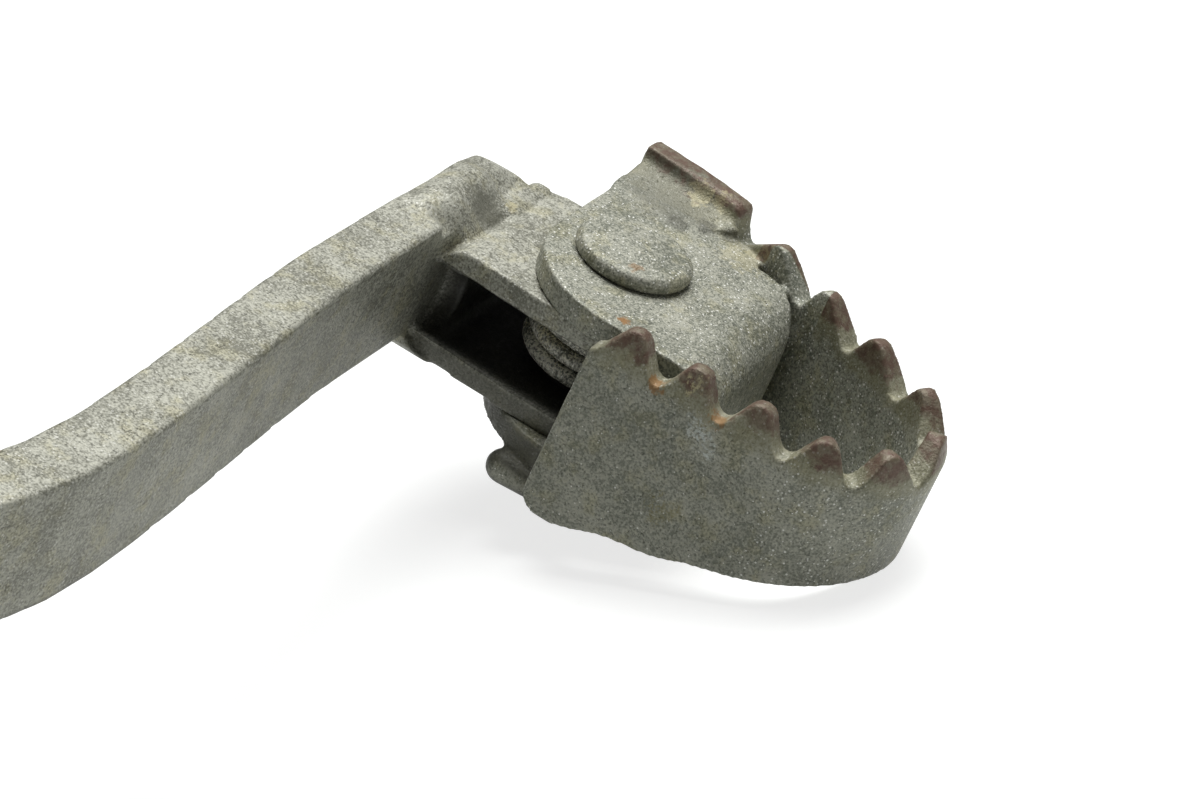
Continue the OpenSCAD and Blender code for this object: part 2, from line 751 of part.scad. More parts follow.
arm();
pivot_tube();
bush_inner();
bush_outer();
seal_inner();
seal_outer();
pivot_weld_inner();
pivot_weld_outer();
rod_lever();
lever_weld();
stop_tab();
stop_weld();
clevis();
clevis_weld_top();
clevis_weld_bottom();
tip_bracket();
toothed_band();
band_weld_top();
band_weld_bottom();
band_weld_near();
rivet();
torsion_spring();
spring_collar();
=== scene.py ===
# %% [markdown]
# A worn rear brake pedal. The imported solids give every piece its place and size, and this
# script adds what years on a trail did to them: rounded edges, weld beads that flow into the
# sheet, dull plating, white specks and rust on the teeth. Everything is in metres.

# %% Load the solids
import math

import bpy
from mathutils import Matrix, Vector


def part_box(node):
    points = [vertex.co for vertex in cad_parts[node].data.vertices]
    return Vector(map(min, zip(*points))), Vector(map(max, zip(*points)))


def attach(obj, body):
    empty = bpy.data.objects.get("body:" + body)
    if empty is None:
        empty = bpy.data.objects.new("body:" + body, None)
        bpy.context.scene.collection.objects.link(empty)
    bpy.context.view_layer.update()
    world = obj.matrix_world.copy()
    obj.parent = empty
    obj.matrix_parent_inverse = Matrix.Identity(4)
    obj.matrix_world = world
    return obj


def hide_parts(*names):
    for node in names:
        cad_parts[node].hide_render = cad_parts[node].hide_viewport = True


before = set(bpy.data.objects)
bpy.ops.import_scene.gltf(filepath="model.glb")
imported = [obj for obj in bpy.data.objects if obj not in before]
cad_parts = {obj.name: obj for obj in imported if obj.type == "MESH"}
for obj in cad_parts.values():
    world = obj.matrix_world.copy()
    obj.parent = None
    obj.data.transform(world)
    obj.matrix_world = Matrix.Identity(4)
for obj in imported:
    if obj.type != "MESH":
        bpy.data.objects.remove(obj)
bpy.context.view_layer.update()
MM = 0.001
print("nodes:", sorted(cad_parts))

# %% [markdown]
# Most of what is seen sits near the tip's rivet, so places are given in the tip's own frame.
# Its origin is on the rivet, halfway between the clevis plates. There x points outward along
# the tip, y forward along the arm and z up the rivet, all in millimetres. The origin is
# measured on the solids, so it moves with them.

# %% Rivet and tip frame
rivet_lo, rivet_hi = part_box("rivet")
clevis_lo, clevis_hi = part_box("clevis")
rivet_x = (rivet_lo.x + rivet_hi.x) / 2
rivet_y = (rivet_lo.y + rivet_hi.y) / 2
tip_z = (clevis_lo.z + clevis_hi.z) / 2


def tip_point(x, y, z):
    """A point of the tip's frame, in millimetres, as a point of the part's frame in metres."""
    return Vector((rivet_x + y * MM, rivet_y - x * MM, tip_z + z * MM))


print("rivet at", round(rivet_x, 4), round(rivet_y, 4), "middle height", round(tip_z, 4))

# %% [markdown]
# The photograph looks along the arm from its outer side and from above, with the camera
# rolled against the pedal. A long lens from a short way off gives the same mild perspective,
# and the place and the turn were found by laying the solids' edges over the photograph.

# %% Camera
CAMERA_AT = Vector((-0.127364, -0.141324, 0.212196))
CAMERA_TURN_DEG = (57.8069, -20.2017, -62.9344)
SENSOR_WIDTH = 36
LENS = 90
camera_data = bpy.data.cameras.new("camera")
camera_data.sensor_width = SENSOR_WIDTH
camera_data.lens = LENS
camera_data.clip_start = 0.01
camera_data.clip_end = 20
camera = bpy.data.objects.new("camera", camera_data)
camera.location = CAMERA_AT
camera.rotation_euler = [math.radians(angle) for angle in CAMERA_TURN_DEG]
bpy.context.collection.objects.link(camera)
bpy.context.scene.camera = camera
print("camera is", round((CAMERA_AT - tip_point(0, 0, 0)).length, 3), "m from the rivet")

# %% [markdown]
# The pedal lies on a white table with its toothed tip down, so the table is tilted in the
# part's frame. It is one large plane, square to the table's upward direction and moved down
# to the lowest corner of the solids along it, which is on the toothed band.

# %% Table
PITCH = math.radians(25.8)
ROLL = math.radians(-4.2)
TABLE_SIZE = 6
camera_matrix = camera.rotation_euler.to_matrix()
image_up = camera_matrix @ Vector((0, 1, 0))
image_right = camera_matrix @ Vector((1, 0, 0))
view_axis = camera_matrix @ Vector((0, 0, -1))
level_up = image_up * math.cos(PITCH) - view_axis * math.sin(PITCH)
table_up = (level_up * math.cos(ROLL) + image_right * math.sin(ROLL)).normalized()
lowest = min(
    (v.co @ table_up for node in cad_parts.values() for v in node.data.vertices))
middle = tip_point(10, -20, 0)
table_at = middle + table_up * (lowest - middle @ table_up)
bpy.ops.mesh.primitive_plane_add(
    size=TABLE_SIZE, location=table_at, rotation=table_up.to_track_quat("Z", "Y").to_euler())
table = bpy.context.object
table.name = "table"
print("table faces", [round(c, 3) for c in table_up])

# %% [markdown]
# A finish is a tree of small nodes. Each helper below adds one of them, links it and gives
# back its output, so that a later cell reads as a list of steps: a noise, a step between two
# levels, a mix of two colours.

# %% Node helpers
def feed(tree, socket, value):
    """Links a socket, or sets its value from a number or a colour."""
    if isinstance(value, (int, float)):
        socket.default_value = value
    elif isinstance(value, tuple):
        socket.default_value = (*value, 1)
    else:
        tree.links.new(value, socket)


def add_math(tree, operation, a, b=0.0):
    """One sum of two values."""
    node = tree.nodes.new("ShaderNodeMath")
    node.operation = operation
    feed(tree, node.inputs[0], a)
    feed(tree, node.inputs[1], b)
    return node.outputs[0]


def times(tree, a, b):
    """The product of two values, such as two masks that both have to hold."""
    return add_math(tree, "MULTIPLY", a, b)


# %% Pattern helpers
def add_noise(tree, vector, scale, detail, rough):
    """A noise between 0 and 1."""
    node = tree.nodes.new("ShaderNodeTexNoise")
    node.inputs["Scale"].default_value = scale
    node.inputs["Detail"].default_value = detail
    node.inputs["Roughness"].default_value = rough
    tree.links.new(vector, node.inputs["Vector"])
    return node.outputs["Fac"]


def add_ramp(tree, value, low, high, to_low=0.0, to_high=1.0):
    """A smooth step of a value between two levels."""
    node = tree.nodes.new("ShaderNodeMapRange")
    node.interpolation_type = "SMOOTHSTEP"
    node.inputs["From Min"].default_value = low
    node.inputs["From Max"].default_value = high
    node.inputs["To Min"].default_value = to_low
    node.inputs["To Max"].default_value = to_high
    tree.links.new(value, node.inputs["Value"])
    return node.outputs["Result"]


def add_mix(tree, fac, a, b, blend="MIX"):
    """Mixes two colours."""
    node = tree.nodes.new("ShaderNodeMix")
    node.data_type = "RGBA"
    node.blend_type = blend
    feed(tree, node.inputs[0], fac)
    feed(tree, node.inputs[6], a)
    feed(tree, node.inputs[7], b)
    return node.outputs[2]


def is_seen(tree):
    """1 where the camera looks, also by a mirror or through glass, and 0 for other light."""
    path = tree.nodes.new("ShaderNodeLightPath")
    seen = add_math(
        tree, "MAXIMUM", path.outputs["Is Camera Ray"], path.outputs["Is Glossy Ray"])
    return add_math(tree, "MAXIMUM", seen, path.outputs["Is Transmission Ray"])


# %% [markdown]
# The real table is nearly burnt out to white, yet it still shows the pedal's shadow. The
# plane is therefore grey for the light that it throws back, and glows for the camera only,
# which lifts it to white without more light on the steel. Seen from behind it is clear, so
# that it hides nothing from below.

# %% Table finish
TABLE_GLOW = 0.76
TABLE_GREY = (0.44, 0.45, 0.44)
TABLE_MARK = (0.30, 0.30, 0.27)
MARK_SCALE = 160
table_mat = bpy.data.materials.new("white_table")
table_mat.use_nodes = True
tree = table_mat.node_tree
tree.nodes.clear()
place = tree.nodes.new("ShaderNodeTexCoord").outputs["Object"]
few_marks = add_ramp(tree, add_noise(tree, place, MARK_SCALE, detail=4, rough=0.6), 0.70, 0.74)
diffuse = tree.nodes.new("ShaderNodeBsdfDiffuse")
tree.links.new(add_mix(tree, few_marks, TABLE_GREY, TABLE_MARK), diffuse.inputs["Color"])
glow = tree.nodes.new("ShaderNodeEmission")
glow.inputs["Color"].default_value = (1, 1, 1, 1)
tree.links.new(times(tree, is_seen(tree), TABLE_GLOW), glow.inputs["Strength"])
lit = tree.nodes.new("ShaderNodeAddShader")
tree.links.new(diffuse.outputs[0], lit.inputs[0])
tree.links.new(glow.outputs[0], lit.inputs[1])
clear = tree.nodes.new("ShaderNodeBsdfTransparent")
geometry = tree.nodes.new("ShaderNodeNewGeometry")
side = tree.nodes.new("ShaderNodeMixShader")
tree.links.new(geometry.outputs["Backfacing"], side.inputs["Fac"])
tree.links.new(lit.outputs[0], side.inputs[1])
tree.links.new(clear.outputs[0], side.inputs[2])
table_out = tree.nodes.new("ShaderNodeOutputMaterial")
tree.links.new(side.outputs[0], table_out.inputs["Surface"])
table.data.materials.append(table_mat)
print("table glows at", TABLE_GLOW)

# %% [markdown]
# The light falls from a wide soft lamp above the tip: the faces that look up are nearly
# twice as bright as the bar's side, and the near wall of the tip only gets what the table
# throws back. A weak lamp at the right keeps the tip's rounded end from going dark. The
# room itself gives very little, and is white where the camera sees it.

# %% Room and lamps
ROOM_LIGHT = 0.08
world = bpy.data.worlds.new("room")
bpy.context.scene.world = world
world.use_nodes = True
tree = world.node_tree
tree.nodes.clear()
room = tree.nodes.new("ShaderNodeBackground")
room.inputs["Color"].default_value = (1, 1, 1, 1)
world_path = tree.nodes.new("ShaderNodeLightPath")
tree.links.new(add_ramp(tree, world_path.outputs["Is Camera Ray"], 0, 1, ROOM_LIGHT, 1.0),
               room.inputs["Strength"])
world_out = tree.nodes.new("ShaderNodeOutputWorld")
tree.links.new(room.outputs[0], world_out.inputs["Surface"])


def lamp(name, toward, far, size, power):
    """A square soft lamp that looks back at the tip."""
    data = bpy.data.lights.new(name, "AREA")
    data.size = size
    data.energy = power
    obj = bpy.data.objects.new(name, data)
    toward = toward.normalized()
    obj.location = middle + toward * far
    obj.rotation_euler = toward.to_track_quat("Z", "Y").to_euler()
    bpy.context.collection.objects.link(obj)
    print(name, "stands", far, "m away and gives", power, "W")


lamp("ceiling", table_up + view_axis * 0.30 + image_right * 0.16,
     far=1.2, size=0.9, power=19)
lamp("side_fill", image_right + table_up * 0.25 - view_axis * 0.35,
     far=1.5, size=0.8, power=0.35)

# %% [markdown]
# All the pieces are steel that was plated long ago. Its dullness is built from noises of
# several sizes: broad clouds, fine mottling, grit, yellowed patches and dark pits. Hundreds
# of white grains lie on top. They are chosen cells of a cell pattern, so they are scattered
# evenly and stay small. The effect is a node group, so that each piece can have its own two
# greys. The scales are repeats per metre, so 1000 makes spots of about a millimetre.

# %% Group helper
def new_group(name, inputs, outputs):
    """A shader group with named sockets; an input gives its kind and value."""
    group = bpy.data.node_groups.new(name, "ShaderNodeTree")
    for label, kind, value in inputs:
        socket = group.interface.new_socket(
            name=label, in_out="INPUT", socket_type="NodeSocket" + kind)
        socket.default_value = value
    for label, kind in outputs:
        group.interface.new_socket(
            name=label, in_out="OUTPUT", socket_type="NodeSocket" + kind)
    start = group.nodes.new("NodeGroupInput")
    end = group.nodes.new("NodeGroupOutput")
    return group, start.outputs, end.inputs


# %% Plating group: the two greys
CLOUD_SCALE = 130
YELLOW_SCALE = 240
MOTTLE_SCALE = 1200
PIT_SCALE = 1900
GRAIN_SCALE = 2300
GRIT_SCALE = 3200
plating, given, result = new_group(
    "old_plating",
    [("Dark", "Color", (0.09, 0.09, 0.08, 1)), ("Light", "Color", (0.25, 0.25, 0.22, 1)),
     ("Specks", "Float", 0.5)],
    [("Color", "Color"), ("Roughness", "Float"), ("Height", "Float")])
place = plating.nodes.new("ShaderNodeTexCoord").outputs["Object"]
clouds = add_noise(plating, place, CLOUD_SCALE, detail=5, rough=0.6)
mottle = add_noise(plating, place, MOTTLE_SCALE, detail=5, rough=0.7)
grit = add_noise(plating, place, GRIT_SCALE, detail=2, rough=0.5)
tone = add_math(plating, "ADD", times(plating, clouds, 0.32), times(plating, mottle, 0.40))
tone = add_math(plating, "ADD", tone, times(plating, grit, 0.50))
base = add_mix(plating, add_ramp(plating, tone, 0.50, 0.72), given["Dark"], given["Light"])
print("the plating mixes", given["Dark"].name, "and", given["Light"].name)

# %% Plating group: yellow, pits and grains
YELLOWED = (1.0, 0.94, 0.70)
PIT_DARK = (0.05, 0.05, 0.04)
GRAIN_WHITE = (0.80, 0.80, 0.74)
GRAIN_REACH = 0.38
BARE_CELLS = 0.45
patches = add_noise(plating, place, YELLOW_SCALE, detail=4, rough=0.65)
yellow = add_ramp(plating, patches, 0.48, 0.66, to_high=0.5)
base = add_mix(plating, yellow, base, YELLOWED, "MULTIPLY")
pits = add_ramp(plating, add_noise(plating, place, PIT_SCALE, detail=3, rough=0.6), 0.61, 0.70)
base = add_mix(plating, times(plating, pits, 0.5), base, PIT_DARK)
cells = plating.nodes.new("ShaderNodeTexVoronoi")
cells.inputs["Scale"].default_value = GRAIN_SCALE
plating.links.new(place, cells.inputs["Vector"])
chance = plating.nodes.new("ShaderNodeSeparateColor")
plating.links.new(cells.outputs["Color"], chance.inputs[0])
grain_size = times(plating, chance.outputs[1], GRAIN_REACH)
grain = add_math(plating, "LESS_THAN", cells.outputs["Distance"], grain_size)
some_cells = add_math(plating, "GREATER_THAN", chance.outputs[0], BARE_CELLS)
speck = times(plating, times(plating, grain, some_cells), given["Specks"])
base = add_mix(plating, speck, base, GRAIN_WHITE)
print("grains are up to", round(2 * GRAIN_REACH / GRAIN_SCALE / MM, 2), "mm wide")

# %% Plating group: outputs
plating.links.new(base, result["Color"])
rough = add_ramp(plating, mottle, 0.3, 0.7, to_low=0.42, to_high=0.66)
plating.links.new(rough, result["Roughness"])
relief = add_math(plating, "ADD", times(plating, mottle, 0.6), grit)
relief = add_math(plating, "SUBTRACT", relief, times(plating, pits, 0.8))
plating.links.new(relief, result["Height"])
print("old_plating has", len(plating.nodes), "nodes")

# %% [markdown]
# Stains sit at known places: rust in a gap between two teeth, a white scuff on the near
# wall. Painted shade is laid the same way, in a valley on the bar, in creases of the tip and
# on its wide tooth. Each is a soft ball round a point of the piece, with an edge that a noise
# frays. The group puts out a mask only, and the materials say what it does.

# %% Stain and painted shade ball group
FRAY_SCALE = 900
ball_group, given, result = new_group(
    "soft_ball",
    [("Centre", "Vector", (0, 0, 0)), ("Radius", "Float", 0.003), ("Fray", "Float", 0.5)],
    [("Mask", "Float")])
place = ball_group.nodes.new("ShaderNodeTexCoord").outputs["Object"]
away = ball_group.nodes.new("ShaderNodeVectorMath")
away.operation = "DISTANCE"
ball_group.links.new(place, away.inputs[0])
ball_group.links.new(given["Centre"], away.inputs[1])
share = add_math(ball_group, "DIVIDE", away.outputs["Value"], given["Radius"])
fray = add_math(ball_group, "SUBTRACT", add_noise(ball_group, place, FRAY_SCALE, detail=4, rough=0.65), 0.5)
fray = times(ball_group, fray, times(ball_group, given["Fray"], 4))
edge = add_ramp(ball_group, add_math(ball_group, "ADD", share, fray), 0.55, 1.15, to_low=1, to_high=0)
ball_group.links.new(edge, result["Mask"])


def ball_mask(tree, centre, radius, fray):
    """Mask of one ball of stain or painted shade, in millimetres of the tip's frame."""
    use = tree.nodes.new("ShaderNodeGroup")
    use.node_tree = ball_group
    use.inputs["Centre"].default_value = tip_point(*centre)
    use.inputs["Radius"].default_value = radius * MM
    use.inputs["Fray"].default_value = fray
    return use.outputs["Mask"]


print("soft_ball has", len(ball_group.nodes), "nodes")

# %% [markdown]
# Every steel finish starts alike: the plating group feeds the colour, the roughness and a
# shallow bump. What differs is the two greys, the strength of the grains, and the stains and
# painted shade that are laid on top, each with a mask, a strength and a colour of its own.

# %% Steel helpers
BUMP_HEIGHT = 0.15 * MM


def old_steel(name, dark, light, specks, metallic=0.2, bump=0.6):
    """Dull plated steel between two greys; gives its colour too, for stains on top."""
    mat = bpy.data.materials.new(name)
    mat.use_nodes = True
    tree = mat.node_tree
    tree.nodes.clear()
    shader = tree.nodes.new("ShaderNodeBsdfPrincipled")
    output = tree.nodes.new("ShaderNodeOutputMaterial")
    tree.links.new(shader.outputs[0], output.inputs["Surface"])
    use = tree.nodes.new("ShaderNodeGroup")
    use.node_tree = plating
    use.inputs["Dark"].default_value = (*dark, 1)
    use.inputs["Light"].default_value = (*light, 1)
    use.inputs["Specks"].default_value = specks
    tree.links.new(use.outputs["Color"], shader.inputs["Base Color"])
    tree.links.new(use.outputs["Roughness"], shader.inputs["Roughness"])
    shader.inputs["Metallic"].default_value = metallic
    bump_node = tree.nodes.new("ShaderNodeBump")
    bump_node.inputs["Strength"].default_value = bump
    bump_node.inputs["Distance"].default_value = BUMP_HEIGHT
    tree.links.new(use.outputs["Height"], bump_node.inputs["Height"])
    tree.links.new(bump_node.outputs["Normal"], shader.inputs["Normal"])
    print("finish", name)
    return mat, tree, shader, use.outputs["Color"]


def paint(tree, shader, colour, marks):
    """Lays stains and painted shade over a colour, each a mask, its strength and its own colour.
    """
    for mask, strength, tint in marks:
        colour = add_mix(tree, times(tree, mask, strength), colour, tint)
    tree.links.new(colour, shader.inputs["Base Color"])


def place_split(tree):
    """The shaded point in the part's frame, whole and as its three coordinates."""
    split = tree.nodes.new("ShaderNodeSeparateXYZ")
    place = tree.nodes.new("ShaderNodeTexCoord").outputs["Object"]
    tree.links.new(place, split.inputs[0])
    return place, split.outputs


def lower_than(tree, z, empty, full):
    """A mask of what lies low: none at one height of the tip's frame, full at another."""
    return add_ramp(tree, z, tip_z + full * MM, tip_z + empty * MM, to_low=1, to_high=0)


# %% Stain and painted shade colours
# The near black, the shade and the deep colours are painted shade for the clevis mouth, a valley,
# creases and undersides; the others are real stains and rust.
MOUTH_SHADE_BLACK = (0.012, 0.012, 0.010)
OLIVE = (0.25, 0.23, 0.12)
RUST = (0.30, 0.145, 0.035)
MAROON = (0.135, 0.08, 0.055)
SHADE = (0.15, 0.15, 0.115)
DEEP_SHADE = (0.05, 0.05, 0.035)
CHALK = (0.62, 0.66, 0.62)
HONEY = (0.62, 0.56, 0.33)
print("eight stain colours, from grime to chalk")

# %% [markdown]
# The bar and the clevis share one finish. Its masks here are painted shade: near black
# inside the clevis mouth, dark on the lower plate and everything under it, and grey in the
# valley at the weld's foot, beside a small honey stain. These masks come from where the
# clevis stands, so they fade out along the bar and leave its rear as it is.

# %% Arm finish
ARM_FACE_X = -20.0
GAP_HALF = 5.6 * MM
FADE = 2.5 * MM
arm_mat, tree, shader, colour = old_steel(
    "arm_steel", dark=(0.19, 0.19, 0.15), light=(0.52, 0.52, 0.44), specks=0.5)
xyz = place_split(tree)[1]
over_middle = add_math(tree, "ABSOLUTE", add_math(tree, "SUBTRACT", xyz[2], tip_z))
in_gap = add_math(tree, "LESS_THAN", over_middle, GAP_HALF)
arm_face_y = tip_point(ARM_FACE_X, 0, 0).y
beside_arm = add_ramp(
    tree, xyz[1], arm_face_y - FADE, arm_face_y + FADE, to_low=1, to_high=0)
in_front = add_ramp(tree, xyz[0], clevis_lo.x - FADE, clevis_lo.x + FADE)
mouth_shade = times(tree, times(tree, in_gap, beside_arm), in_front)
low_plate_shade = times(tree, lower_than(tree, xyz[2], empty=-5.2, full=-6.2), beside_arm)
underside_shade = times(tree, lower_than(tree, xyz[2], empty=-8.2, full=-9.6), in_front)
# Painted shade: near black in the mouth, dark on the lower plate and underneath, grey in the
# valley.
paint(tree, shader, colour, [
    (mouth_shade, 0.93, MOUTH_SHADE_BLACK),
    (low_plate_shade, 0.72, DEEP_SHADE),
    (underside_shade, 0.8, DEEP_SHADE),
    (ball_mask(tree, (-18.6, 2.4, 9.2), 1.3, 0.7), 0.5, HONEY),
    (ball_mask(tree, (-20.2, -3.0, 9.0), 3.4, 0.3), 0.75, SHADE),
])

# %% [markdown]
# The smaller finishes need no stains. Weld beads are darker and more even than the bar. The
# spring is oily wire with rubbed bare spots, and its light grey is nearly white, a painted
# highlight on those spots, so its two greys lie far apart. The bushes are bronze and the
# seals are black rubber. Both take the same grain and dirt from the plating group, between
# two colours of their own.

# %% Small finishes
weld_steel = old_steel(
    "weld_steel", dark=(0.20, 0.20, 0.17), light=(0.38, 0.38, 0.33), specks=0.3)[0]
spring_steel = old_steel(
    "spring_steel", dark=(0.16, 0.16, 0.13), light=(1.0, 0.98, 0.86), specks=1.0, bump=0.8)[0]
bronze = old_steel(
    "bush_bronze", dark=(0.26, 0.17, 0.07), light=(0.58, 0.43, 0.21), specks=0.1,
    metallic=0.7, bump=0.2)[0]
rubber = old_steel(
    "seal_rubber", dark=(0.010, 0.010, 0.009), light=(0.032, 0.031, 0.029), specks=0.05,
    metallic=0.0, bump=0.4)[0]

# %% [markdown]
# The tip is the most weathered piece. Each tooth has lost its plating and turned maroon at
# the top, and yellow-green just below. The height over the tip's origin gives the mask for
# the tops, and a noise breaks its edge. That height would catch the ear too, which isn't
# rusty, so a second mask takes it out. On the wide tooth the rust starts a little higher.

# %% Tip finish: tooth tops
FLAKE_SCALE = 700
RAGGED_SCALE = 330
RAGGED_MM = 7.0
EAR_REACH = 18.2 * MM
TEETH_FROM_X = 23.0
WIDE_TO_X = 10.5
WIDE_EXTRA_MM = 2.0
tip_mat, tree, shader, colour = old_steel(
    "tip_steel", dark=(0.17, 0.18, 0.14), light=(0.47, 0.47, 0.39), specks=1.0)
place, xyz = place_split(tree)
height = add_math(tree, "DIVIDE", add_math(tree, "SUBTRACT", xyz[2], tip_z), MM)
torn = add_noise(tree, place, RAGGED_SCALE, detail=5, rough=0.65)
ragged = add_math(tree, "SUBTRACT", torn, 0.5)
height = add_math(tree, "ADD", height, times(tree, ragged, RAGGED_MM))
ahead = add_math(tree, "ABSOLUTE", add_math(tree, "SUBTRACT", xyz[0], rivet_x))
off_ear = add_math(tree, "MAXIMUM",
                   add_math(tree, "GREATER_THAN", ahead, EAR_REACH),
                   add_math(tree, "LESS_THAN", xyz[1], tip_point(TEETH_FROM_X, 0, 0).y))
on_wide = times(tree,
                add_math(tree, "GREATER_THAN", xyz[0], rivet_x),
                add_math(tree, "GREATER_THAN", xyz[1], tip_point(WIDE_TO_X, 0, 0).y))
height = add_math(tree, "SUBTRACT", height, times(tree, on_wide, WIDE_EXTRA_MM))
tops = times(tree, add_ramp(tree, height, 11.9, 13.3), off_ear)
below_tops = times(tree, add_ramp(tree, height, 8.6, 11.6), off_ear)
flaking = add_noise(tree, place, FLAKE_SCALE, detail=4, rough=0.6)
worn_off = add_ramp(tree, flaking, 0.40, 0.60, to_low=0.55, to_high=0.95)
tip_marks = [
    (below_tops, 0.5, OLIVE),
    # painted shade on the face of the wide tooth
    (ball_mask(tree, (-4, 20.5, 13.5), 8.0, 0.2), 0.65, SHADE),
    (times(tree, tops, worn_off), 1.0, MAROON),
]

# %% [markdown]
# The rest of the tip's stains lie where the photograph has them. Painted shade darkens the
# crease at the foot of the wide tooth, honey-coloured patches lie beside it, and painted shade
# darkens what hangs under the ears. The near wall has rust in two gaps and a chalky scuff,
# which is broken into crumbs by one more noise, so that it looks rubbed on and not sprayed.

# %% Tip finish: creases and patches
EAR_TOP_Z = 12.3
WIDE_TOOTH_Z = 14.0
# Painted shade in the crease at the foot of the wide tooth.
for x, y in ((-0.5, 15.5), (2.5, 18.2), (6, 19.8), (9.5, 20.6)):
    tip_marks.append((ball_mask(tree, (x, y, EAR_TOP_Z), 1.7, 0.35), 0.5, DEEP_SHADE))
tip_marks.append((ball_mask(tree, (9.5, 16.5, 12.1), 3.6, 0.9), 0.28, HONEY))
for x, y in ((-1, 22.5), (2, 23.5)):
    tip_marks.append((ball_mask(tree, (x, y, WIDE_TOOTH_Z), 1.8, 0.9), 0.4, HONEY))
# Painted shade on what hangs under the ears.
behind_wall = add_ramp(tree, xyz[0], tip_point(0, -18.6, 0).x, tip_point(0, -17.9, 0).x)
before_far = add_ramp(
    tree, xyz[0], tip_point(0, 9.0, 0).x, tip_point(0, 14.0, 0).x, to_low=1, to_high=0)
low_down = lower_than(tree, xyz[2], empty=-8.2, full=-9.6)
under_ears_shade = times(tree, times(tree, behind_wall, low_down), before_far)
tip_marks.append((under_ears_shade, 0.85, DEEP_SHADE))

# %% Tip finish: near wall and rust spots
CRUMB_SCALE = 2100
WALL_Y = -22.2
GAP_AT = (-21.5, 10.9)
rubbed = add_noise(tree, place, CRUMB_SCALE, detail=4, rough=0.7)
crumbs = add_ramp(tree, rubbed, 0.46, 0.56)
for x in (14.9, 23.8):
    tip_marks.append((ball_mask(tree, (x, *GAP_AT), 1.35, 0.9), 0.75, RUST))
wall_patches = [
    (22.2, 8.4, 1.6, CHALK), (23.6, 7.2, 1.3, CHALK), (25, 6.3, 1.0, CHALK),
    (19.3, 13.4, 1.3, HONEY), (22.3, -4.3, 2.4, OLIVE)]
for x, z, size, tint in wall_patches:
    broken = times(tree, ball_mask(tree, (x, WALL_Y, z), size, 1.0), crumbs)
    tip_marks.append((broken, 0.75, tint))
tip_marks.append((ball_mask(tree, (6.0, -14.6, 12.1), 0.9, 0.6), 0.9, RUST))
tip_marks.append((ball_mask(tree, (2.2, -5.2, 14.2), 1.0, 0.8), 0.5, RUST))
paint(tree, shader, colour, tip_marks)
print("the tip has", len(tip_marks), "marks")

# %% [markdown]
# The solids have crisp edges, and the real pieces don't: they were forged, sheared and
# tumbled. Each visible piece is therefore a copy of its solids that is merged, remeshed with
# small voxels, drawn back onto the solids and smoothed a little. The voxels also fuse a weld
# bead with the bar that it sits on, so its foot flows into the steel as melted metal does.

# %% Modelling helpers
MERGE_WITHIN = 0.01 * MM


def alone(obj):
    """Makes one object the only selected and active one."""
    bpy.ops.object.select_all(action="DESELECT")
    obj.select_set(True)
    bpy.context.view_layer.objects.active = obj


def apply_modifier(obj, kind, **values):
    """Adds a modifier, sets it and applies it."""
    modifier = obj.modifiers.new(kind.lower(), kind)
    for key, value in values.items():
        setattr(modifier, key, value)
    alone(obj)
    bpy.ops.object.modifier_apply(modifier=modifier.name)


def merged_copy(name, sources, fillers=()):
    """One object with the joined meshes of some solids, their loose triangles merged."""
    copies = []
    for solid in [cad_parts[source] for source in sources] + list(fillers):
        obj = bpy.data.objects.new(name, solid.data.copy())
        bpy.context.collection.objects.link(obj)
        copies.append(obj)
    bpy.ops.object.select_all(action="DESELECT")
    for obj in copies:
        obj.select_set(True)
    piece = copies[0]
    bpy.context.view_layer.objects.active = piece
    if len(copies) > 1:
        bpy.ops.object.join()
    piece.name = name
    piece.data.name = name
    piece.data.materials.clear()
    bpy.ops.object.mode_set(mode="EDIT")
    bpy.ops.mesh.select_all(action="SELECT")
    bpy.ops.mesh.remove_doubles(threshold=MERGE_WITHIN)
    bpy.ops.mesh.normals_make_consistent(inside=False)
    bpy.ops.object.mode_set(mode="OBJECT")
    return piece


# %% Worn copies
def worn_copy(name, sources, voxel, soften, fillers=()):
    """A fused, rounded copy of some solids, with more metal where fillers stand."""
    piece = merged_copy(name, sources, fillers)
    guide = merged_copy(name + "_guide", sources, fillers)
    apply_modifier(piece, "REMESH", mode="VOXEL", voxel_size=voxel * MM, adaptivity=0)
    apply_modifier(piece, "SHRINKWRAP", target=guide, wrap_method="NEAREST_SURFACEPOINT")
    apply_modifier(piece, "SMOOTH", factor=0.5, iterations=soften)
    for extra in (guide, *fillers):
        bpy.data.objects.remove(extra, do_unlink=True)
    return piece


def soften_near(obj, centre, radius, iterations):
    """Smooths an object only round a point, as melted metal flows there."""
    group = obj.vertex_groups.new(name="near")
    centre_at = tip_point(*centre)
    reach = radius * MM
    for vertex in obj.data.vertices:
        share = 1 - (vertex.co - centre_at).length / reach
        if share > 0:
            group.add([vertex.index], min(1.0, 2 * share), "REPLACE")
    apply_modifier(obj, "SMOOTH", factor=0.7, iterations=iterations, vertex_group="near")
    obj.vertex_groups.clear()


def finish(piece, sources, body, material):
    """Gives a piece its shading, its material, its body and the solids it replaces."""
    alone(piece)
    bpy.ops.object.shade_smooth()
    piece.data.materials.append(material)
    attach(piece, body)
    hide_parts(*sources)
    print(piece.name, "has", len(piece.data.polygons), "faces")


# %% [markdown]
# The welder left more metal than the solids show: a mound on the bar in front of the clevis,
# and a filled groove where the folded sheet meets the bar. Round bars and balls stand for
# that metal. They are joined to the solids before the voxels fuse everything, and they stay
# inside the part's box.

